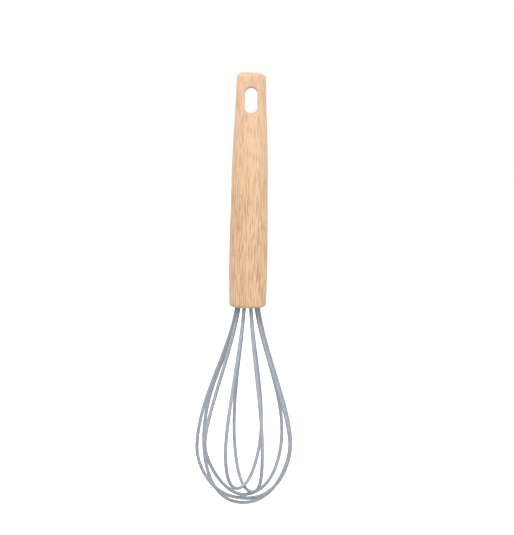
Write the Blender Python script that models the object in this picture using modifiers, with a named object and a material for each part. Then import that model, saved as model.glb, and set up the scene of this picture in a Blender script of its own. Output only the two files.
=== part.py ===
"""Balloon whisk: a wooden handle and five wire loops, each covered by a silicone sleeve.

Frame: metres, +X across the handle, +Y through it from front to back, +Z up along it.
The whisk hangs. Its origin is the upper end of the hanging slot, where a hook carries it,
so the top of the handle is just above the origin and the loops are far below it.
"""

import math
from collections import namedtuple

import bmesh
import bpy
from mathutils import Matrix, Vector
from mathutils.geometry import interpolate_bezier

MM = 0.001
GAP = 0.3 * MM

# Handle: stations down its length, joined by one smooth curve.
Station = namedtuple("Station", "depth half_width half_thickness squareness")
HANDLE_STATIONS = (
    Station(0.0 * MM, 9.6 * MM, 6.6 * MM, 3.0),
    Station(20.0 * MM, 10.25 * MM, 7.4 * MM, 3.0),
    Station(52.0 * MM, 11.65 * MM, 9.2 * MM, 2.6),
    Station(92.0 * MM, 12.55 * MM, 11.0 * MM, 2.3),
    Station(132.0 * MM, 13.0 * MM, 12.2 * MM, 2.1),
    Station(156.5 * MM, 12.45 * MM, 12.1 * MM, 2.0),
)
HANDLE_LENGTH = HANDLE_STATIONS[-1].depth
HANDLE_SIDES = 32
HANDLE_RINGS = 12
TOP_ROUND = 3.8 * MM
TOP_ROUND_STEPS = 4
END_ROUND_INSET = 2.8 * MM
END_ROUND_HEIGHT = 2.1 * MM
END_ROUND_STEPS = 3

# Hanging slot, and the bore that takes the wires.
SLOT_WIDTH = 8.5 * MM
SLOT_LENGTH = 17.0 * MM
SLOT_TOP_WALL = 10.0 * MM
SLOT_SIDES = 24
BORE_RADIUS = 8.8 * MM
BORE_DEPTH = 32.0 * MM
BORE_SIDES = 40

TOP_Z = SLOT_TOP_WALL
MOUTH_Z = TOP_Z - HANDLE_LENGTH

# Wires: a steel core in a silicone sleeve, in a ring of grooves.
CORE_RADIUS = 0.5 * MM
SLEEVE_RADIUS = 1.2 * MM
SLEEVE_WALL = 0.42 * MM
RING_RADIUS = 7.2 * MM
RING_HOLES = 10
WIRE_BEVEL = 2
SLEEVE_IN = 7.0 * MM
CORE_IN = 26.0 * MM

# Moulded holder in the mouth of the bore, and the resin behind it.
HOLDER_RADIUS = BORE_RADIUS - 0.4 * MM
HOLDER_RECESS = 1.0 * MM
HOLDER_HEIGHT = 9.0 * MM
GROOVE_RADIUS = SLEEVE_RADIUS + GAP
RESIN_HEIGHT = 19.0 * MM
RESIN_HOLE_RADIUS = CORE_RADIUS + GAP
GROOVE_SIDES = 12
RESIN_HOLE_SIDES = 8

# How every strand is bent. It leaves the handle nearly straight, runs out to its widest place,
# and turns in to the tip: each Bezier handle is a share of the stretch that it shapes.
EXIT_SPREAD = 5.0 * MM
EXIT_SHARE = 1 / 3
STRAIGHT_SHARE = 1 / 3
TIP_SHARE = 3 / 4
UPPER_STEPS = 8
LOWER_STEPS = 10

# The loops cross at the tip one under the other, a wire apart, and each was bent by hand.
# A strand has its azimuth from +X (degrees), its reach from the axis and its depth below the
# handle where it is widest, then its shares: how long it stays upright above and below that
# place, and how wide it turns at the tip. A tip has its place in the stack, its offset from
# the axis, the wire's heading there (degrees) and its rise towards the second strand.
TIP_DEPTH = 123.4 * MM
TIP_STEP = 2 * SLEEVE_RADIUS + GAP
Strand = namedtuple(
    "Strand",
    "azimuth reach depth above below turn",
    defaults=(STRAIGHT_SHARE, STRAIGHT_SHARE, TIP_SHARE),
)
Tip = namedtuple("Tip", "place x y heading rise")
Loop = namedtuple("Loop", "hole_azimuth first second tip")
LOOPS = (
    Loop(
        0,
        Strand(183, 32.8 * MM, 96 * MM),
        Strand(3, 31.0 * MM, 94 * MM, above=0.25),
        Tip(3, 1.0 * MM, 0.0, 3, 0.0),
    ),
    Loop(
        36,
        Strand(214, 32.3 * MM, 90 * MM, above=0.2, turn=0.5),
        Strand(38, 32.0 * MM, 90 * MM),
        Tip(2, 1.0 * MM, 0.0, 32, -0.02),
    ),
    Loop(
        72,
        Strand(247, 32.5 * MM, 93 * MM, above=0.25),
        Strand(70, 32.0 * MM, 87 * MM),
        Tip(0, -2.0 * MM, -1.0 * MM, 68, 0.0),
    ),
    Loop(
        -72,
        Strand(105, 32.0 * MM, 84 * MM),
        Strand(-69, 32.0 * MM, 92 * MM, above=0.25),
        Tip(1, 3.0 * MM, -1.0 * MM, -67, 0.04),
    ),
    Loop(
        -36,
        Strand(150, 33.4 * MM, 94 * MM, above=0.4, below=0.55),
        Strand(-24, 32.8 * MM, 92 * MM, above=0.25, below=0.2),
        Tip(4, 1.0 * MM, -1.0 * MM, -28, 0.2),
    ),
)

# Finishes: colour, roughness, metallic.
FINISHES = {
    "beech_wood": ((0.87, 0.60, 0.37), 0.55, 0.0),
    "moulded_plastic": ((0.09, 0.09, 0.10), 0.45, 0.0),
    "cast_resin": ((0.55, 0.47, 0.33), 0.25, 0.0),
    "spring_steel": ((0.60, 0.60, 0.61), 0.30, 1.0),
    "grey_silicone": ((0.35, 0.38, 0.42), 0.50, 0.0),
}


def clear_scene():
    for item in list(bpy.data.objects):
        bpy.data.objects.remove(item, do_unlink=True)


def new_collection(name):
    collection = bpy.data.collections.new(name)
    bpy.context.scene.collection.children.link(collection)
    return collection


def new_material(name):
    colour, roughness, metallic = FINISHES[name]
    material = bpy.data.materials.new(name)
    material.use_nodes = True
    shader = material.node_tree.nodes["Principled BSDF"]
    shader.inputs["Base Color"].default_value = (*colour, 1.0)
    shader.inputs["Roughness"].default_value = roughness
    shader.inputs["Metallic"].default_value = metallic
    return material


def place(name, data, collection, parent, material=None, z=0.0):
    """Makes the object of a sub-part, on the axis at height z."""
    item = bpy.data.objects.new(name, data)
    item.location = (0.0, 0.0, z)
    item.parent = parent
    collection.objects.link(item)
    if material is not None:
        data.materials.append(material)
    return item


def shade(mesh, angle=40.0):
    mesh.shade_smooth()
    mesh.set_sharp_from_angle(angle=math.radians(angle))


def mesh_from(bm, name):
    """Turns a bmesh into a mesh with its faces pointing out."""
    bmesh.ops.recalc_face_normals(bm, faces=bm.faces)
    mesh = bpy.data.meshes.new(name)
    bm.to_mesh(mesh)
    bm.free()
    return mesh


def cut(item, cutter):
    difference = item.modifiers.new(f"cut_{cutter.name}", "BOOLEAN")
    difference.operation = "DIFFERENCE"
    difference.solver = "EXACT"
    difference.object = cutter


def round_bar(bm, radius, low, high, sides, at=(0.0, 0.0)):
    """Adds a capped upright cylinder between two heights, standing at a point in plan."""
    centre = Matrix.Translation((at[0], at[1], (low + high) / 2))
    bmesh.ops.create_cone(
        bm,
        cap_ends=True,
        segments=sides,
        radius1=radius,
        radius2=radius,
        depth=high - low,
        matrix=centre,
    )


def on_circle(azimuth, radius, z=0.0):
    turn = math.radians(azimuth)
    return Vector((radius * math.cos(turn), radius * math.sin(turn), z))


def ring_places():
    return [on_circle(i * 360 / RING_HOLES, RING_RADIUS) for i in range(RING_HOLES)]


def handle_station(depth):
    """The handle's section at a depth below its top, on a smooth curve through the stations."""
    stations = HANDLE_STATIONS
    last = len(stations) - 1
    i = max(k for k in range(last) if stations[k].depth <= depth)
    span = stations[i + 1].depth - stations[i].depth
    t = (depth - stations[i].depth) / span

    def slope(k, field):
        before, after = stations[max(k - 1, 0)], stations[min(k + 1, last)]
        return (after[field] - before[field]) / (after.depth - before.depth)

    values = [depth]
    for field in (1, 2, 3):
        start, end = stations[i][field], stations[i + 1][field]
        rise = start * (2 * t**3 - 3 * t**2 + 1) + end * (3 * t**2 - 2 * t**3)
        bend = slope(i, field) * (t**3 - 2 * t**2 + t) + slope(i + 1, field) * (t**3 - t**2)
        values.append(rise + bend * span)
    return Station(*values)


def handle_rings():
    """(depth, inset) of each ring of the handle: a rounded top, its length and a rounded end."""
    rings = []
    for k in range(TOP_ROUND_STEPS + 1):
        turn = math.radians(90 * k / TOP_ROUND_STEPS)
        rings.append((TOP_ROUND * (1 - math.cos(turn)), TOP_ROUND * (1 - math.sin(turn))))
    first, last = TOP_ROUND, HANDLE_LENGTH - END_ROUND_HEIGHT
    rings += [(first + (last - first) * k / HANDLE_RINGS, 0.0) for k in range(1, HANDLE_RINGS)]
    for k in range(END_ROUND_STEPS + 1):
        turn = math.radians(90 * k / END_ROUND_STEPS)
        rings.append(
            (last + END_ROUND_HEIGHT * math.sin(turn), END_ROUND_INSET * (1 - math.cos(turn)))
        )
    return rings


def handle_mesh():
    """A loft through superellipses: nearly a rounded rectangle at the top, round at the end."""
    bm = bmesh.new()
    rings = []
    for depth, inset in handle_rings():
        station = handle_station(min(depth, HANDLE_LENGTH))
        power = 2 / station.squareness
        ring = []
        for i in range(HANDLE_SIDES):
            turn = 2 * math.pi * i / HANDLE_SIDES
            x = math.copysign(abs(math.cos(turn)) ** power, math.cos(turn))
            y = math.copysign(abs(math.sin(turn)) ** power, math.sin(turn))
            width, thickness = station.half_width - inset, station.half_thickness - inset
            ring.append(bm.verts.new((width * x, thickness * y, -depth)))
        rings.append(ring)
    for upper, lower in zip(rings, rings[1:]):
        for i in range(HANDLE_SIDES):
            j = (i + 1) % HANDLE_SIDES
            bm.faces.new((upper[i], lower[i], lower[j], upper[j]))
    bm.faces.new(rings[0])
    bm.faces.new(rings[-1])
    return mesh_from(bm, "handle")


def slot_cutter(collection, parent):
    """A cylinder along Y whose two halves are drawn apart along Z, so its ends are round."""
    bm = bmesh.new()
    half_segment = math.pi / SLOT_SIDES
    radius = SLOT_WIDTH / 2 / math.cos(half_segment)
    round_bar(bm, radius, -2 * SLOT_WIDTH, 2 * SLOT_WIDTH, SLOT_SIDES)
    bmesh.ops.rotate(bm, verts=bm.verts, matrix=Matrix.Rotation(half_segment, 3, "Z"))
    bmesh.ops.rotate(bm, verts=bm.verts, matrix=Matrix.Rotation(math.pi / 2, 3, "X"))
    spread = SLOT_LENGTH / 2 - radius
    for vert in bm.verts:
        vert.co.z += math.copysign(spread, vert.co.z)
    cutter = place("slot_cutter", mesh_from(bm, "slot_cutter"), collection, parent)
    cutter.location.z = -SLOT_LENGTH / 2
    return cutter


def bore_cutter(collection, parent):
    bm = bmesh.new()
    round_bar(bm, BORE_RADIUS, -BORE_DEPTH, BORE_DEPTH, BORE_SIDES)
    return place("bore_cutter", mesh_from(bm, "bore_cutter"), collection, parent, z=MOUTH_Z)


def ring_cutter(name, radius, sides, height, z, collection, parent):
    """One bar for each wire, all in one cutter, that goes right through a plug."""
    bm = bmesh.new()
    for spot in ring_places():
        round_bar(bm, radius, -height, 2 * height, sides, at=(spot.x, spot.y))
    return place(name, mesh_from(bm, name), collection, parent, z=z)


def hide_cutters(cutters):
    for item in cutters.objects:
        item.hide_render = True
        item.display_type = "WIRE"


def build_handle(parts, cutters, parent):
    handle = place("handle", handle_mesh(), parts, parent, new_material("beech_wood"), TOP_Z)
    cut(handle, slot_cutter(cutters, parent))
    cut(handle, bore_cutter(cutters, parent))
    shade(handle.data)


def build_plug(name, radius, z, height, hole_radius, hole_sides, material, homes):
    """A round plug in the bore with one groove or hole for each wire."""
    parts, cutters, parent = homes
    bm = bmesh.new()
    round_bar(bm, radius, 0.0, height, BORE_SIDES)
    plug = place(name, mesh_from(bm, name), parts, parent, material, z)
    cut(plug, ring_cutter(f"{name}_cutter", hole_radius, hole_sides, height, z, cutters, parent))
    shade(plug.data)


def strand_points(hole_azimuth, strand, tip, tip_tangent):
    """Points from the mouth of the handle, past the widest place, to the tip of the loop."""
    outward = on_circle(strand.azimuth, 1.0)
    mouth = on_circle(hole_azimuth, RING_RADIUS)
    belly = on_circle(strand.azimuth, strand.reach, -strand.depth)
    down = Vector((0.0, 0.0, -1.0))
    leaving = mouth + down * strand.depth * EXIT_SHARE + outward * EXIT_SPREAD
    above = down * strand.depth * strand.above
    below = down * (belly.z - tip.z) * strand.below
    turning = tip + tip_tangent * strand.reach * strand.turn
    upper = interpolate_bezier(mouth, leaving, belly - above, belly, UPPER_STEPS + 1)
    lower = interpolate_bezier(belly, belly + below, turning, tip, LOWER_STEPS + 1)
    return upper + lower[1:]


def loop_points(loop, reach_in):
    """The whole loop, below the mouth at z = 0, with both ends straight up into the handle."""
    tip = Vector((loop.tip.x, loop.tip.y, -TIP_DEPTH - loop.tip.place * TIP_STEP))
    ahead = on_circle(loop.tip.heading, 1.0, loop.tip.rise)
    first = strand_points(loop.hole_azimuth + 180, loop.first, tip, -ahead)
    second = strand_points(loop.hole_azimuth, loop.second, tip, ahead)
    up = Vector((0.0, 0.0, reach_in))
    return [first[0] + up, *first, *reversed(second[:-1]), second[0] + up]


def wire_curve(name, points, radius, filled):
    curve = bpy.data.curves.new(name, "CURVE")
    curve.dimensions = "3D"
    curve.bevel_depth = radius
    curve.bevel_resolution = WIRE_BEVEL
    curve.use_fill_caps = filled
    spline = curve.splines.new("POLY")
    spline.points.add(len(points) - 1)
    for knot, point in zip(spline.points, points):
        knot.co = (*point, 1.0)
    spline.use_smooth = True
    return curve


def build_loops(parts, parent):
    steel, silicone = new_material("spring_steel"), new_material("grey_silicone")
    for number, loop in enumerate(LOOPS, start=1):
        core_name, sleeve_name = f"wire_core_{number}", f"silicone_sleeve_{number}"
        core = wire_curve(core_name, loop_points(loop, CORE_IN), CORE_RADIUS, True)
        place(core_name, core, parts, parent, steel, MOUTH_Z)
        skin = wire_curve(sleeve_name, loop_points(loop, SLEEVE_IN), SLEEVE_RADIUS, False)
        sleeve = place(sleeve_name, skin, parts, parent, silicone, MOUTH_Z)
        wall = sleeve.modifiers.new("wall", "SOLIDIFY")
        wall.thickness = SLEEVE_WALL
        wall.offset = -1.0


def build():
    clear_scene()
    parts = new_collection("balloon_whisk")
    cutters = new_collection("cutters")
    hang_point = bpy.data.objects.new("hang_point", None)
    hang_point.empty_display_size = SLOT_WIDTH
    parts.objects.link(hang_point)

    homes = (parts, cutters, hang_point)
    holder_z = MOUTH_Z + HOLDER_RECESS
    resin_z = holder_z + HOLDER_HEIGHT + GAP
    plastic, resin = new_material("moulded_plastic"), new_material("cast_resin")
    build_handle(*homes)
    build_plug(
        "wire_holder", HOLDER_RADIUS, holder_z, HOLDER_HEIGHT, GROOVE_RADIUS, GROOVE_SIDES,
        plastic, homes,
    )
    build_plug(
        "resin_plug", HOLDER_RADIUS, resin_z, RESIN_HEIGHT, RESIN_HOLE_RADIUS, RESIN_HOLE_SIDES,
        resin, homes,
    )
    build_loops(parts, hang_point)
    hide_cutters(cutters)


build()
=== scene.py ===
"""Looks of the balloon whisk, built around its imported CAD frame.

Metres, +X across the handle, +Y from front to back, +Z up along it. The wooden handle, the
moulded wire holder and the five silicone sleeves are fine meshes that stand for their plain
CAD nodes. The steel cores and the resin, which are inside, keep their CAD shapes.
"""

import math
from collections import namedtuple

import bmesh
import bpy
from mathutils import Matrix, Vector
from mathutils.geometry import interpolate_bezier


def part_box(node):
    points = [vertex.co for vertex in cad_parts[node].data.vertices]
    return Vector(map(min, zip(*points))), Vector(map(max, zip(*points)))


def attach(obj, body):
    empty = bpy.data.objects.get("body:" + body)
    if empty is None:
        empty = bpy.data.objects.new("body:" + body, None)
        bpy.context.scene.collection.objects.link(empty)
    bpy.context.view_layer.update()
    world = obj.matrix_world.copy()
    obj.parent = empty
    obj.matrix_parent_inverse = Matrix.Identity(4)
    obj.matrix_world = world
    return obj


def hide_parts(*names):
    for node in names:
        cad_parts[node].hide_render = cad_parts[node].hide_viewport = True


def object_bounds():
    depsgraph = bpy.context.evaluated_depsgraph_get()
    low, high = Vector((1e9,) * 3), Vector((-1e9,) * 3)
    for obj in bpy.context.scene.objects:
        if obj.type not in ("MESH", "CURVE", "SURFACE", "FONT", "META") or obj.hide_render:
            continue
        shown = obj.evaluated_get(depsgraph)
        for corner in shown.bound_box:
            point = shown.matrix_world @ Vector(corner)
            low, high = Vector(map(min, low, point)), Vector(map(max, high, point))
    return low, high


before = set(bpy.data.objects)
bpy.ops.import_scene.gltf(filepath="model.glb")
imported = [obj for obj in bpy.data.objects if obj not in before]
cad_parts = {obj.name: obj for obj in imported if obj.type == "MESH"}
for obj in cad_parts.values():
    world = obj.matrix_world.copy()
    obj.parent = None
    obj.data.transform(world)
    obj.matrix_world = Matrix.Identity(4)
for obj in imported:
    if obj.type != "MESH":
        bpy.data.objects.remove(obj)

MM = 0.001
GAP = 0.3 * MM
cad_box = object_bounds()
handle_low, handle_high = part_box("handle")
holder_low, holder_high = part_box("wire_holder")
TOP_Z = handle_high.z
MOUTH_Z = handle_low.z

# The handle's own curve, as in the CAD: half sizes and squareness down its length.
Station = namedtuple("Station", "depth half_width half_thickness squareness")
HANDLE_STATIONS = (
    Station(0.0 * MM, 9.6 * MM, 6.6 * MM, 3.0),
    Station(20.0 * MM, 10.25 * MM, 7.4 * MM, 3.0),
    Station(52.0 * MM, 11.65 * MM, 9.2 * MM, 2.6),
    Station(92.0 * MM, 12.55 * MM, 11.0 * MM, 2.3),
    Station(132.0 * MM, 13.0 * MM, 12.2 * MM, 2.1),
    Station(156.5 * MM, 12.45 * MM, 12.1 * MM, 2.0),
)
HANDLE_LENGTH = TOP_Z - MOUTH_Z
HANDLE_COLUMNS = 96
BACK_COLUMN = HANDLE_COLUMNS // 4
FRONT_COLUMN = 3 * HANDLE_COLUMNS // 4
ROW_STEP = 1.3 * MM
TOP_ROUND = 3.8 * MM
TOP_ROUND_STEPS = 12
TOP_RING_SHARES = (0.66, 0.33)
END_ROUND_INSET = 2.8 * MM
END_ROUND_HEIGHT = 2.1 * MM
END_ROUND_STEPS = 8
ARRIS = 0.35 * MM
ARRIS_STEPS = 4

# Hanging slot: a stadium, and the window of the handle's grid that is rebuilt around it.
SLOT_HALF_WIDTH = 4.25 * MM
SLOT_HALF_LENGTH = 8.5 * MM
SLOT_DEPTH = TOP_Z + SLOT_HALF_LENGTH
SLOT_ROUND = 0.8 * MM
SLOT_ROUND_STEPS = 5
WINDOW_MARGIN = 3.0 * MM
WINDOW_COLUMNS = 10
WINDOW_RINGS = 4
WALL_RINGS = 4

BORE_RADIUS = 8.8 * MM
BORE_DEPTH = 32.0 * MM
BORE_ROWS = 8

# Wires, bent as in the CAD.
SLEEVE_RADIUS = 1.2 * MM
SLEEVE_INNER_RADIUS = 0.78 * MM
SLEEVE_IN = 7.0 * MM
SLEEVE_SIDES = 24
SLEEVE_SHARP_ANGLE = 50
RING_RADIUS = 7.2 * MM
RING_HOLES = 10
EXIT_SPREAD = 5.0 * MM
EXIT_SHARE = 1 / 3
STRAIGHT_SHARE = 1 / 3
TIP_SHARE = 3 / 4
STRAND_STEPS = 60
LEAD_STEPS = 8
# The loops cross at the tip one under the other, a wire apart, and each was bent by hand.
# A strand has its azimuth from +X (degrees), its reach from the axis and its depth below the
# handle where it is widest, then its shares: how long it stays upright above and below that
# place, and how wide it turns at the tip. A tip has its place in the stack, its offset from
# the axis, the wire's heading there (degrees) and its rise towards the second strand.
TIP_DEPTH = 123.4 * MM
TIP_STEP = 2 * SLEEVE_RADIUS + GAP
Strand = namedtuple(
    "Strand",
    "azimuth reach depth above below turn",
    defaults=(STRAIGHT_SHARE, STRAIGHT_SHARE, TIP_SHARE),
)
Tip = namedtuple("Tip", "place x y heading rise")
Loop = namedtuple("Loop", "hole_azimuth first second tip")
LOOPS = (
    Loop(
        0,
        Strand(183, 32.8 * MM, 96 * MM),
        Strand(3, 31.0 * MM, 94 * MM, above=0.25),
        Tip(3, 1.0 * MM, 0.0, 3, 0.0),
    ),
    Loop(
        36,
        Strand(214, 32.3 * MM, 90 * MM, above=0.2, turn=0.5),
        Strand(38, 32.0 * MM, 90 * MM),
        Tip(2, 1.0 * MM, 0.0, 32, -0.02),
    ),
    Loop(
        72,
        Strand(247, 32.5 * MM, 93 * MM, above=0.25),
        Strand(70, 32.0 * MM, 87 * MM),
        Tip(0, -2.0 * MM, -1.0 * MM, 68, 0.0),
    ),
    Loop(
        -72,
        Strand(105, 32.0 * MM, 84 * MM),
        Strand(-69, 32.0 * MM, 92 * MM, above=0.25),
        Tip(1, 3.0 * MM, -1.0 * MM, -67, 0.04),
    ),
    Loop(
        -36,
        Strand(150, 33.4 * MM, 94 * MM, above=0.4, below=0.55),
        Strand(-24, 32.8 * MM, 92 * MM, above=0.25, below=0.2),
        Tip(4, 1.0 * MM, -1.0 * MM, -28, 0.2),
    ),
)

# Wire holder: a plug with a groove for each wire.
GROOVE_RADIUS = 1.5 * MM
HOLDER_EDGE = 0.25 * MM
HOLDER_EDGE_STEPS = 3
HOLDER_SHARP_ANGLE = 40
HOLDER_ARC_STEPS = 6
GROOVE_ARC_STEPS = 14

# Camera: a little above the whisk's middle and in front of it, with the whisk leaning right.
CAMERA_DISTANCE = 0.85
CAMERA_ELEVATION = 5.0
CAMERA_LENS = 85.1
CAMERA_SENSOR = 36.0
AIM_ABOVE_MOUTH = 26.7 * MM
AIM_ASIDE = 5.9 * MM
WHISK_LEAN = 1.0
CAMERA_CLIP = (0.05, 100.0)

# Studio: a glowing floor, even light all round, and soft boxes placed from the whisk's middle.
FLOOR_DROP = 0.20
FLOOR_SIZE = 40.0
FLOOR_GLOW = 0.60
LIGHT_FROM_BELOW = 0.74
LIGHT_FROM_ABOVE = 0.92
SoftBox = namedtuple("SoftBox", "name place size power")
SOFT_BOXES = (
    SoftBox("key", (-0.4, -0.8, 1.0), (0.9, 0.9), 7.5),
    SoftBox("fill", (0.9, -0.8, 0.2), (0.8, 1.2), 3.2),
    SoftBox("back", (0.3, 0.9, 0.7), (0.9, 0.6), 5.0),
)


# ---------------------------------------------------------------- node helpers


def new_material(name):
    material = bpy.data.materials.new(name)
    material.use_nodes = True
    tree = material.node_tree
    return material, tree, tree.nodes["Principled BSDF"]


def add(tree, kind, inputs=None, **settings):
    """Adds a node, sets its properties, and sets or links its inputs."""
    node = tree.nodes.new(kind)
    for key, value in settings.items():
        setattr(node, key, value)
    for key, value in (inputs or {}).items():
        if isinstance(value, bpy.types.NodeSocket):
            tree.links.new(value, node.inputs[key])
        else:
            node.inputs[key].default_value = value
    return node


def object_place(tree):
    return add(tree, "ShaderNodeTexCoord").outputs["Object"]


def noise(tree, vector, scale, detail=2.0, roughness=0.5):
    inputs = {"Vector": vector, "Scale": scale, "Detail": detail, "Roughness": roughness}
    return add(tree, "ShaderNodeTexNoise", inputs).outputs["Fac"]


def stretch(tree, vector, scale):
    """Scales a vector along its axes: a small share along Z draws a noise out into grain."""
    return add(tree, "ShaderNodeMapping", {"Vector": vector, "Scale": scale}).outputs["Vector"]


def between(tree, value, low, high, out_low=0.0, out_high=1.0):
    """Maps a value from one range to another, smoothly and clamped."""
    inputs = {
        "Value": value,
        "From Min": low,
        "From Max": high,
        "To Min": out_low,
        "To Max": out_high,
    }
    node = add(tree, "ShaderNodeMapRange", inputs, interpolation_type="SMOOTHSTEP")
    return node.outputs["Result"]


def calculate(tree, operation, first, second=0.0):
    return add(tree, "ShaderNodeMath", {0: first, 1: second}, operation=operation).outputs[0]


def mix_colour(tree, share, first, second):
    """Mixes two colours, each an RGBA tuple or a socket."""
    node = add(tree, "ShaderNodeMix", {0: share}, data_type="RGBA")
    for socket, value in ((node.inputs[6], first), (node.inputs[7], second)):
        if isinstance(value, bpy.types.NodeSocket):
            tree.links.new(value, socket)
        else:
            socket.default_value = value
    return node.outputs[2]


def shift(tree, vector, amount, by):
    """Moves a vector sideways by a wandering amount, so that straight grain wavers."""
    offset = add(tree, "ShaderNodeCombineXYZ", {"X": calculate(tree, "MULTIPLY", amount, by)})
    inputs = {0: vector, 1: offset.outputs[0]}
    return add(tree, "ShaderNodeVectorMath", inputs, operation="ADD").outputs[0]


def bump(tree, shader, height, distance, strength):
    inputs = {"Height": height, "Distance": distance, "Strength": strength}
    node = add(tree, "ShaderNodeBump", inputs)
    tree.links.new(node.outputs["Normal"], shader.inputs["Normal"])


# ------------------------------------------------------------------- materials


def beech_wood():
    """Pale oiled wood: long fine brown grain lines, closer together lower down, and end grain,
    with painted shade that darkens it lower down.
    """
    material, tree, shader = new_material("oiled_beech")
    place = object_place(tree)
    height = add(tree, "ShaderNodeSeparateXYZ", {0: place}).outputs["Z"]
    lower = between(tree, height, -105.0 * MM, -15.0 * MM, 1.0, 0.0)
    wander = noise(tree, stretch(tree, place, (1.0, 1.0, 0.5)), 24.0, 0.0)
    centred = calculate(tree, "SUBTRACT", wander, 0.5)
    wavering = shift(tree, place, centred, 3.5 * MM)

    tone = noise(tree, stretch(tree, place, (1.0, 1.0, 0.3)), 60.0, 1.0)
    bands = noise(tree, stretch(tree, wavering, (1.0, 0.5, 0.07)), 190.0, 1.0, 0.5)
    crowd = noise(tree, stretch(tree, place, (1.0, 1.0, 0.35)), 90.0, 1.0)
    lines = noise(tree, stretch(tree, wavering, (1.0, 1.0, 0.04)), 1500.0, 0.0)
    ticks = noise(tree, stretch(tree, wavering, (1.0, 1.0, 0.05)), 2300.0, 0.0)
    pores = noise(tree, stretch(tree, wavering, (1.0, 1.0, 0.06)), 3000.0, 2.0, 0.6)
    crowded = between(tree, crowd, 0.35, 0.65, -0.008, 0.008)
    crowded = calculate(tree, "ADD", crowded, calculate(tree, "MULTIPLY", lower, 0.03))
    line_mask = between(tree, calculate(tree, "ADD", lines, crowded), 0.59, 0.67)
    tick_mask = between(tree, calculate(tree, "ADD", ticks, crowded), 0.60, 0.68)
    pore_mask = between(tree, pores, 0.55, 0.70)

    honey = (0.800, 0.540, 0.325, 1.0)
    blush = (0.790, 0.530, 0.348, 1.0)
    ripe = (0.715, 0.445, 0.250, 1.0)
    grain = (0.52, 0.275, 0.130, 1.0)
    cut_end = (0.60, 0.38, 0.21, 1.0)
    colour = mix_colour(tree, between(tree, tone, 0.35, 0.65), honey, blush)
    band_and_shade_share = between(tree, bands, 0.42, 0.68, 0.0, 0.28)
    # Painted shade: more of the ripe tone lower down, so the wood darkens towards the mouth.
    band_and_shade_share = calculate(tree, "ADD", band_and_shade_share, calculate(tree, "MULTIPLY", lower, 0.15))
    colour = mix_colour(tree, band_and_shade_share, colour, ripe)
    strength = between(tree, height, -100.0 * MM, -10.0 * MM, 0.70, 0.40)
    colour = mix_colour(tree, calculate(tree, "MULTIPLY", line_mask, strength), colour, grain)
    colour = mix_colour(tree, calculate(tree, "MULTIPLY", tick_mask, strength), colour, grain)
    colour = mix_colour(tree, calculate(tree, "MULTIPLY", pore_mask, 0.15), colour, grain)

    normal = add(tree, "ShaderNodeNewGeometry").outputs["Normal"]
    facing = add(tree, "ShaderNodeSeparateXYZ", {0: normal}).outputs["Z"]
    end_grain = between(tree, calculate(tree, "ABSOLUTE", facing), 0.93, 0.99, 0.0, 0.25)
    colour = mix_colour(tree, end_grain, colour, cut_end)
    tree.links.new(colour, shader.inputs["Base Color"])

    rough = between(tree, tone, 0.3, 0.7, 0.46, 0.56)
    rough = calculate(tree, "ADD", rough, calculate(tree, "MULTIPLY", line_mask, 0.12))
    tree.links.new(rough, shader.inputs["Roughness"])
    shader.inputs["Sheen Weight"].default_value = 0.35
    shader.inputs["Sheen Roughness"].default_value = 0.35
    shader.inputs["Sheen Tint"].default_value = (1.0, 0.92, 0.86, 1.0)
    hollows = calculate(tree, "ADD", line_mask, calculate(tree, "MULTIPLY", tick_mask, 0.7))
    bump(tree, shader, calculate(tree, "MULTIPLY", hollows, -1.0), 0.05 * MM, 0.5)
    return material


def grey_silicone():
    """Soft matte blue-grey rubber, mottled, with painted shade darkening it just below the
    handle's mouth.
    """
    material, tree, shader = new_material("matte_silicone")
    place = object_place(tree)
    mottle = noise(tree, place, 260.0, 3.0, 0.55)
    peel = noise(tree, place, 1900.0, 2.0, 0.6)
    dust = noise(tree, place, 5200.0, 1.0, 0.5)
    slate = (0.318, 0.346, 0.374, 1.0)
    cloud = (0.388, 0.416, 0.444, 1.0)
    powder = (0.50, 0.52, 0.535, 1.0)
    mouth_shade_colour = (0.160, 0.178, 0.200, 1.0)
    colour = mix_colour(tree, between(tree, mottle, 0.3, 0.7), slate, cloud)
    bloom = between(tree, dust, 0.60, 0.75, 0.0, 0.25)
    colour = mix_colour(tree, bloom, colour, powder)
    height = add(tree, "ShaderNodeSeparateXYZ", {0: place}).outputs["Z"]
    # Painted shade: the sleeves turn darker over the 16 mm below the handle's mouth, where the
    # handle shades them.
    painted_mouth_shade = between(tree, height, MOUTH_Z - 16.0 * MM, MOUTH_Z - 2.0 * MM, 0.0, 0.5)
    colour = mix_colour(tree, painted_mouth_shade, colour, mouth_shade_colour)
    tree.links.new(colour, shader.inputs["Base Color"])
    tree.links.new(between(tree, peel, 0.3, 0.7, 0.40, 0.54), shader.inputs["Roughness"])
    bump(tree, shader, peel, 0.03 * MM, 0.5)
    return material


def moulded_plastic():
    """Dark grey moulded plastic with a spark-eroded grain."""
    material, tree, shader = new_material("grained_plastic")
    place = object_place(tree)
    grain = noise(tree, place, 3400.0, 2.0, 0.6)
    flow = noise(tree, place, 220.0, 2.0)
    dark, light = (0.045, 0.047, 0.052, 1.0), (0.075, 0.078, 0.084, 1.0)
    colour = mix_colour(tree, between(tree, flow, 0.3, 0.7), dark, light)
    tree.links.new(colour, shader.inputs["Base Color"])
    tree.links.new(between(tree, grain, 0.3, 0.7, 0.42, 0.60), shader.inputs["Roughness"])
    bump(tree, shader, grain, 0.03 * MM, 0.6)
    return material


def cast_resin():
    """Clear amber potting resin, a little cloudy."""
    material, tree, shader = new_material("amber_resin")
    cloud = noise(tree, object_place(tree), 350.0, 3.0)
    amber, milk = (0.50, 0.36, 0.17, 1.0), (0.62, 0.52, 0.35, 1.0)
    colour = mix_colour(tree, between(tree, cloud, 0.35, 0.7), amber, milk)
    tree.links.new(colour, shader.inputs["Base Color"])
    tree.links.new(between(tree, cloud, 0.3, 0.7, 0.12, 0.3), shader.inputs["Roughness"])
    return material


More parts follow.
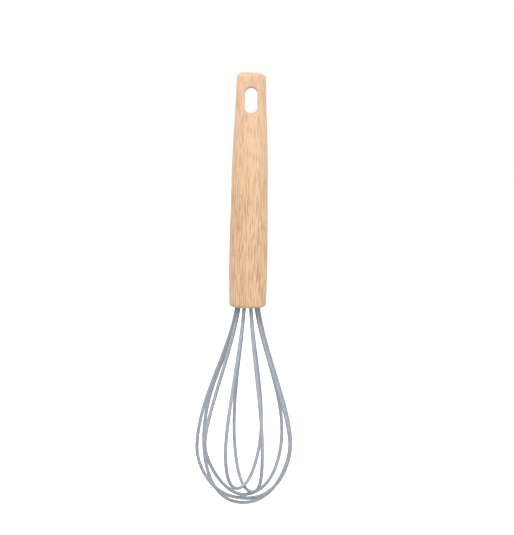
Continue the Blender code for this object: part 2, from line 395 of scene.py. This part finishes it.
def spring_steel():
    """Drawn steel wire with fine draw marks along it."""
    material, tree, shader = new_material("drawn_steel")
    marks = noise(tree, stretch(tree, object_place(tree), (1.0, 1.0, 0.05)), 6000.0, 2.0)
    dark, light = (0.42, 0.42, 0.43, 1.0), (0.62, 0.62, 0.63, 1.0)
    tree.links.new(mix_colour(tree, marks, dark, light), shader.inputs["Base Color"])
    tree.links.new(between(tree, marks, 0.3, 0.7, 0.22, 0.42), shader.inputs["Roughness"])
    shader.inputs["Metallic"].default_value = 1.0
    return material


# ------------------------------------------------------------------ mesh helpers


def join_loops(bm, first, second):
    """Quads between two closed loops of the same number of vertices."""
    for i in range(len(first)):
        j = (i + 1) % len(first)
        bm.faces.new((first[i], second[i], second[j], first[j]))


def ring_of(bm, points):
    return [bm.verts.new(point) for point in points]


def finish_piece(bm, name, material, node, sharp_angle=None):
    """Makes the object of a mesh that stands for a CAD node, riding on the only body."""
    bmesh.ops.recalc_face_normals(bm, faces=bm.faces)
    mesh = bpy.data.meshes.new(name)
    bm.to_mesh(mesh)
    bm.free()
    mesh.materials.append(material)
    mesh.shade_smooth()
    if sharp_angle is not None:
        mesh.set_sharp_from_angle(angle=math.radians(sharp_angle))
    piece = bpy.data.objects.new(name, mesh)
    bpy.context.scene.collection.objects.link(piece)
    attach(piece, "root")
    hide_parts(node)
    return piece


def on_circle(azimuth, radius, z=0.0):
    turn = math.radians(azimuth)
    return Vector((radius * math.cos(turn), radius * math.sin(turn), z))


# ----------------------------------------------------------------------- handle


def station_at(depth):
    """The handle's section at a depth below its top, on a smooth curve through the stations."""
    stations = HANDLE_STATIONS
    last = len(stations) - 1
    i = max(k for k in range(last) if stations[k].depth <= depth)
    span = stations[i + 1].depth - stations[i].depth
    t = (depth - stations[i].depth) / span

    def slope(k, field):
        before, after = stations[max(k - 1, 0)], stations[min(k + 1, last)]
        return (after[field] - before[field]) / (after.depth - before.depth)

    values = [depth]
    for field in (1, 2, 3):
        start, end = stations[i][field], stations[i + 1][field]
        rise = start * (2 * t**3 - 3 * t**2 + 1) + end * (3 * t**2 - 2 * t**3)
        bend = slope(i, field) * (t**3 - 2 * t**2 + t) + slope(i + 1, field) * (t**3 - t**2)
        values.append(rise + bend * span)
    return Station(*values)


def section_point(depth, inset, column):
    """A point of the superellipse section at a depth, set in from the full size."""
    station = station_at(min(max(depth, 0.0), HANDLE_STATIONS[-1].depth))
    power = 2 / station.squareness
    turn = 2 * math.pi * column / HANDLE_COLUMNS
    x = math.copysign(abs(math.cos(turn)) ** power, math.cos(turn))
    y = math.copysign(abs(math.sin(turn)) ** power, math.sin(turn))
    width, thickness = station.half_width - inset, station.half_thickness - inset
    return Vector((width * x, thickness * y, TOP_Z - depth))


def face_y(x, depth):
    """How far the handle's face stands from its middle plane, at a place on it."""
    station = station_at(depth)
    share = min(abs(x) / station.half_width, 1.0)
    power = station.squareness
    return station.half_thickness * (1 - share**power) ** (1 / power)


def outer_rows():
    """(depth, inset) of the handle's rows: the rounded top, the length and the rounded end."""
    rows = []
    for k in range(TOP_ROUND_STEPS + 1):
        turn = math.radians(90 * k / TOP_ROUND_STEPS)
        rows.append((TOP_ROUND * (1 - math.cos(turn)), TOP_ROUND * (1 - math.sin(turn))))
    first, last = TOP_ROUND, HANDLE_LENGTH - END_ROUND_HEIGHT
    count = round((last - first) / ROW_STEP)
    rows += [(first + (last - first) * k / count, 0.0) for k in range(1, count)]
    for k in range(END_ROUND_STEPS + 1):
        turn = math.radians(90 * k / END_ROUND_STEPS)
        inset = END_ROUND_INSET * (1 - math.cos(turn))
        rows.append((last + END_ROUND_HEIGHT * math.sin(turn), inset))
    return rows


def window_rows(rows):
    """The rows just above and just below the slot, with a margin."""
    top = SLOT_DEPTH - SLOT_HALF_LENGTH - WINDOW_MARGIN
    bottom = SLOT_DEPTH + SLOT_HALF_LENGTH + WINDOW_MARGIN
    above = max(k for k, (depth, _) in enumerate(rows) if depth <= top)
    below = min(k for k, (depth, _) in enumerate(rows) if depth >= bottom)
    return above, below


def window_border(above, below):
    """(column offset, row) once round the border of the window."""
    half = WINDOW_COLUMNS
    border = [(j, above) for j in range(-half, half)]
    border += [(half, row) for row in range(above, below)]
    border += [(j, below) for j in range(half, -half, -1)]
    border += [(-half, row) for row in range(below, above, -1)]
    return border


def slot_spine(x, depth):
    """The nearest point of the slot's middle line, and the way out from it."""
    reach = SLOT_HALF_LENGTH - SLOT_HALF_WIDTH
    along = min(max(depth - SLOT_DEPTH, -reach), reach)
    away = Vector((x, depth - SLOT_DEPTH - along))
    return Vector((0.0, SLOT_DEPTH + along)), away


def slot_rings(bm, border, side):
    """Rings of vertices from the window's border to the slot's wall, on one face."""
    places = [slot_spine(vert.co.x, TOP_Z - vert.co.z) for vert in border]
    rings = [border]
    rim = SLOT_HALF_WIDTH + SLOT_ROUND

    def on_face(flat, sunk=0.0, at=None):
        rise = face_y(*(flat if at is None else at)) - sunk
        return Vector((flat.x, side * rise, TOP_Z - flat.y))

    for k in range(1, WINDOW_RINGS + 1):
        share = k / WINDOW_RINGS
        points = []
        for spine, away in places:
            length = away.length * (1 - share) + rim * share
            points.append(on_face(spine + away.normalized() * length))
        rings.append(ring_of(bm, points))
    for k in range(1, SLOT_ROUND_STEPS + 1):
        turn = math.radians(90 * k / SLOT_ROUND_STEPS)
        points = []
        for spine, away in places:
            way = away.normalized()
            flat = spine + way * (rim - SLOT_ROUND * math.sin(turn))
            points.append(on_face(flat, SLOT_ROUND * (1 - math.cos(turn)), spine + way * rim))
        rings.append(ring_of(bm, points))
    return rings


def cut_slot(bm, grid, above, below):
    """Fills both windows of the grid round the slot, and joins them through the wood."""
    walls = []
    for side, middle, step in ((-1, FRONT_COLUMN, 1), (1, BACK_COLUMN, -1)):
        border = [grid[row][middle + step * j] for j, row in window_border(above, below)]
        rings = slot_rings(bm, border, side)
        for outer, inner in zip(rings, rings[1:]):
            join_loops(bm, outer, inner)
        walls.append(rings[-1])
    front, back = walls
    previous = front
    for k in range(1, WALL_RINGS):
        share = k / WALL_RINGS
        points = [a.co.lerp(b.co, share) for a, b in zip(front, back)]
        ring = ring_of(bm, points)
        join_loops(bm, previous, ring)
        previous = ring
    join_loops(bm, previous, back)


def close_top(bm, ring):
    """Closes the handle's flat top with two smaller rings and a middle face."""
    for share in TOP_RING_SHARES:
        points = [Vector((v.co.x * share, v.co.y * share, v.co.z)) for v in ring]
        inner = ring_of(bm, points)
        join_loops(bm, ring, inner)
        ring = inner
    bm.faces.new(ring)


def hollow_end(bm, ring):
    """The rim of the handle's lower end, its small inner arris, and the bore with its floor."""
    azimuths = [360 * i / HANDLE_COLUMNS for i in range(HANDLE_COLUMNS)]

    def circle_within(outer, radius, z):
        inner = ring_of(bm, [on_circle(azimuth, radius, z) for azimuth in azimuths])
        join_loops(bm, outer, inner)
        return inner

    for k in range(ARRIS_STEPS + 1):
        turn = math.radians(90 * k / ARRIS_STEPS)
        radius = BORE_RADIUS + ARRIS * (1 - math.sin(turn))
        ring = circle_within(ring, radius, MOUTH_Z + ARRIS * (1 - math.cos(turn)))
    for k in range(1, BORE_ROWS + 1):
        share = k / BORE_ROWS
        z = MOUTH_Z + ARRIS * (1 - share) + BORE_DEPTH * share
        ring = circle_within(ring, BORE_RADIUS, z)
    ring = circle_within(ring, BORE_RADIUS / 2, MOUTH_Z + BORE_DEPTH)
    bm.faces.new(ring)


def build_handle():
    bm = bmesh.new()
    rows = outer_rows()
    above, below = window_rows(rows)
    middles = (BACK_COLUMN, FRONT_COLUMN)

    def vertex_in_window(column):
        return any(abs(column - middle) < WINDOW_COLUMNS for middle in middles)

    def face_in_window(column):
        return any(-WINDOW_COLUMNS <= column - middle < WINDOW_COLUMNS for middle in middles)

    grid = []
    for k, (depth, inset) in enumerate(rows):
        ring = []
        for column in range(HANDLE_COLUMNS):
            gone = above < k < below and vertex_in_window(column)
            ring.append(None if gone else bm.verts.new(section_point(depth, inset, column)))
        grid.append(ring)
    for k in range(len(rows) - 1):
        for column in range(HANDLE_COLUMNS):
            if above <= k < below and face_in_window(column):
                continue
            after = (column + 1) % HANDLE_COLUMNS
            upper, lower = grid[k], grid[k + 1]
            bm.faces.new((upper[column], lower[column], lower[after], upper[after]))
    cut_slot(bm, grid, above, below)
    close_top(bm, grid[0])
    hollow_end(bm, grid[-1])
    finish_piece(bm, "handle_wood", beech_wood(), "handle")


# ------------------------------------------------------------------------ wires


def strand_points(hole_azimuth, strand, tip, tip_tangent):
    """Points from inside the holder, past the widest place, to the tip of the loop."""
    outward = on_circle(strand.azimuth, 1.0)
    mouth = on_circle(hole_azimuth, RING_RADIUS, MOUTH_Z)
    belly = on_circle(strand.azimuth, strand.reach, MOUTH_Z - strand.depth)
    down = Vector((0.0, 0.0, -1.0))
    leaving = down * strand.depth * EXIT_SHARE + outward * EXIT_SPREAD
    above = down * strand.depth * strand.above
    below = down * (belly.z - tip.z) * strand.below
    turning = tip + tip_tangent * strand.reach * strand.turn
    inside = mouth - down * SLEEVE_IN
    bend = SLEEVE_IN / 3
    lead = interpolate_bezier(
        inside, inside + down * bend, mouth - leaving.normalized() * bend, mouth, LEAD_STEPS + 1
    )
    upper = interpolate_bezier(mouth, mouth + leaving, belly - above, belly, STRAND_STEPS + 1)
    lower = interpolate_bezier(belly, belly + below, turning, tip, STRAND_STEPS + 1)
    return lead + upper[1:] + lower[1:]


def loop_points(loop):
    """The centreline of a whole loop, from one end inside the holder to the other."""
    tip = Vector((loop.tip.x, loop.tip.y, MOUTH_Z - TIP_DEPTH - loop.tip.place * TIP_STEP))
    ahead = on_circle(loop.tip.heading, 1.0, loop.tip.rise)
    first = strand_points(loop.hole_azimuth + 180, loop.first, tip, -ahead)
    second = strand_points(loop.hole_azimuth, loop.second, tip, ahead)
    return first + list(reversed(second[:-1]))


def frames_along(points):
    """(point, across, over) at each point of a line, turning as little as can be."""
    last = len(points) - 1
    frames = []
    across = Vector((1.0, 0.0, 0.0))
    for i, point in enumerate(points):
        ahead = (points[min(i + 1, last)] - points[max(i - 1, 0)]).normalized()
        across = (across - ahead * across.dot(ahead)).normalized()
        frames.append((point, across, ahead.cross(across)))
    return frames


def build_sleeve(number, loop, material):
    """A silicone tube round one loop, open at both ends where the core wire goes on."""
    bm = bmesh.new()
    frames = frames_along(loop_points(loop))

    def ring(station, radius):
        point, across, over = station
        turns = [2 * math.pi * i / SLEEVE_SIDES for i in range(SLEEVE_SIDES)]
        return ring_of(
            bm,
            [point + across * radius * math.cos(t) + over * radius * math.sin(t) for t in turns],
        )

    outer = [ring(station, SLEEVE_RADIUS) for station in frames]
    inner = [ring(station, SLEEVE_INNER_RADIUS) for station in frames]
    for rings in (outer, inner):
        for first, second in zip(rings, rings[1:]):
            join_loops(bm, first, second)
    join_loops(bm, outer[0], inner[0])
    join_loops(bm, outer[-1], inner[-1])
    name, node = f"silicone_tube_{number}", f"silicone_sleeve_{number}"
    finish_piece(bm, name, material, node, SLEEVE_SHARP_ANGLE)


# ----------------------------------------------------------------------- holder


def holder_outline():
    """The plug's outline with its ten open grooves, as points in plan."""
    plug_radius = (holder_high.y - holder_low.y) / 2
    step = 360 / RING_HOLES
    middle = (plug_radius**2 + RING_RADIUS**2 - GROOVE_RADIUS**2) / (2 * plug_radius * RING_RADIUS)
    mouth_angle = math.degrees(math.acos(middle))
    outline = []
    for k in range(RING_HOLES):
        centre = on_circle(k * step, RING_RADIUS)
        edge = on_circle(k * step - mouth_angle, plug_radius) - centre
        start = math.degrees(math.atan2(edge.y, edge.x)) - k * step
        sweep = -(360 + 2 * start) if start < 0 else -2 * start
        for i in range(GROOVE_ARC_STEPS + 1):
            azimuth = k * step + start + sweep * i / GROOVE_ARC_STEPS
            outline.append(centre + on_circle(azimuth, GROOVE_RADIUS))
        land = step - 2 * mouth_angle
        for i in range(1, HOLDER_ARC_STEPS):
            azimuth = k * step + mouth_angle + land * i / HOLDER_ARC_STEPS
            outline.append(on_circle(azimuth, plug_radius))
    return outline


def build_holder():
    bm = bmesh.new()
    bottom = ring_of(bm, [Vector((p.x, p.y, holder_low.z)) for p in holder_outline()])
    top = ring_of(bm, [Vector((v.co.x, v.co.y, holder_high.z)) for v in bottom])
    join_loops(bm, bottom, top)
    bm.faces.new(bottom)
    bm.faces.new(top)
    material, slot = moulded_plastic(), "moulded_plastic"
    piece = finish_piece(bm, "wire_spacer", material, "wire_holder", HOLDER_SHARP_ANGLE)
    edge = piece.modifiers.new("edge", "BEVEL")
    edge.width = HOLDER_EDGE
    edge.segments = HOLDER_EDGE_STEPS
    edge.limit_method = "ANGLE"
    edge.angle_limit = math.radians(HOLDER_SHARP_ANGLE)
    edge.harden_normals = True


# --------------------------------------------------------------- inner CAD nodes


def dress_inner_nodes():
    """The parts inside keep their CAD shapes and get their own materials."""
    steel, resin = spring_steel(), cast_resin()
    for name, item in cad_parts.items():
        if name.startswith("wire_core"):
            item.data.materials.clear()
            item.data.materials.append(steel)
        elif name == "resin_plug":
            item.data.materials.clear()
            item.data.materials.append(resin)


# ----------------------------------------------------------------------- studio


def build_floor():
    """A plain pale floor, bright enough to run into the background."""
    mesh = bpy.data.meshes.new("floor")
    bm = bmesh.new()
    bmesh.ops.create_grid(bm, x_segments=1, y_segments=1, size=FLOOR_SIZE / 2)
    bm.to_mesh(mesh)
    bm.free()
    floor = bpy.data.objects.new("floor", mesh)
    floor.location.z = cad_box[0].z - FLOOR_DROP
    bpy.context.scene.collection.objects.link(floor)
    material, tree, shader = new_material("studio_floor")
    mottle = noise(tree, object_place(tree), 3.0, 2.0)
    pale = mix_colour(tree, mottle, (0.88, 0.88, 0.88, 1.0), (0.90, 0.90, 0.90, 1.0))
    tree.links.new(pale, shader.inputs["Base Color"])
    shader.inputs["Roughness"].default_value = 0.9
    shader.inputs["Emission Color"].default_value = (1.0, 1.0, 1.0, 1.0)
    shader.inputs["Emission Strength"].default_value = FLOOR_GLOW
    floor.visible_diffuse = False
    floor.visible_glossy = False
    mesh.materials.append(material)


def build_world():
    """Even white light, stronger from above, and a plain white behind the whisk."""
    world = bpy.data.worlds.new("studio")
    bpy.context.scene.world = world
    world.use_nodes = True
    tree = world.node_tree
    upward = add(tree, "ShaderNodeSeparateXYZ", {0: object_place(tree)}).outputs["Z"]
    light = tree.nodes["Background"]
    light.inputs["Color"].default_value = (0.97, 0.98, 1.0, 1.0)
    strength = between(tree, upward, -1.0, 1.0, LIGHT_FROM_BELOW, LIGHT_FROM_ABOVE)
    tree.links.new(strength, light.inputs["Strength"])
    backdrop = add(tree, "ShaderNodeBackground", {"Color": (1.0, 1.0, 1.0, 1.0), "Strength": 1.0})
    seen = add(tree, "ShaderNodeLightPath").outputs["Is Camera Ray"]
    inputs = {0: seen, 1: light.outputs[0], 2: backdrop.outputs[0]}
    mixed = add(tree, "ShaderNodeMixShader", inputs)
    tree.links.new(mixed.outputs[0], tree.nodes["World Output"].inputs["Surface"])


def build_lights():
    middle = (cad_box[0] + cad_box[1]) / 2
    for box in SOFT_BOXES:
        data = bpy.data.lights.new(box.name, "AREA")
        data.shape = "RECTANGLE"
        data.size, data.size_y = box.size
        data.energy = box.power
        lamp = bpy.data.objects.new(box.name, data)
        lamp.location = middle + Vector(box.place)
        lamp.rotation_euler = (middle - lamp.location).to_track_quat("-Z", "Y").to_euler()
        bpy.context.scene.collection.objects.link(lamp)


def build_camera():
    """Looks at a point on the whisk from the front, rolled so that the whisk leans."""
    aim = Vector((AIM_ASIDE, 0.0, MOUTH_Z + AIM_ABOVE_MOUTH))
    turn = math.radians(CAMERA_ELEVATION)
    back = Vector((0.0, -math.cos(turn), math.sin(turn)))
    data = bpy.data.cameras.new("camera")
    data.lens = CAMERA_LENS
    data.sensor_width = CAMERA_SENSOR
    data.clip_start, data.clip_end = CAMERA_CLIP
    camera = bpy.data.objects.new("camera", data)
    gaze = (-back).to_track_quat("-Z", "Y").to_matrix().to_4x4()
    lean = Matrix.Rotation(math.radians(-WHISK_LEAN), 4, "Y")
    camera.matrix_world = (
        Matrix.Translation(aim) @ lean @ Matrix.Translation(back * CAMERA_DISTANCE) @ gaze
    )
    bpy.context.scene.collection.objects.link(camera)
    bpy.context.scene.camera = camera


build_handle()
build_holder()
silicone = grey_silicone()
for number, loop in enumerate(LOOPS, start=1):
    build_sleeve(number, loop, silicone)
dress_inner_nodes()
build_floor()
build_world()
build_lights()
build_camera()
bpy.context.scene.view_settings.view_transform = "Standard"
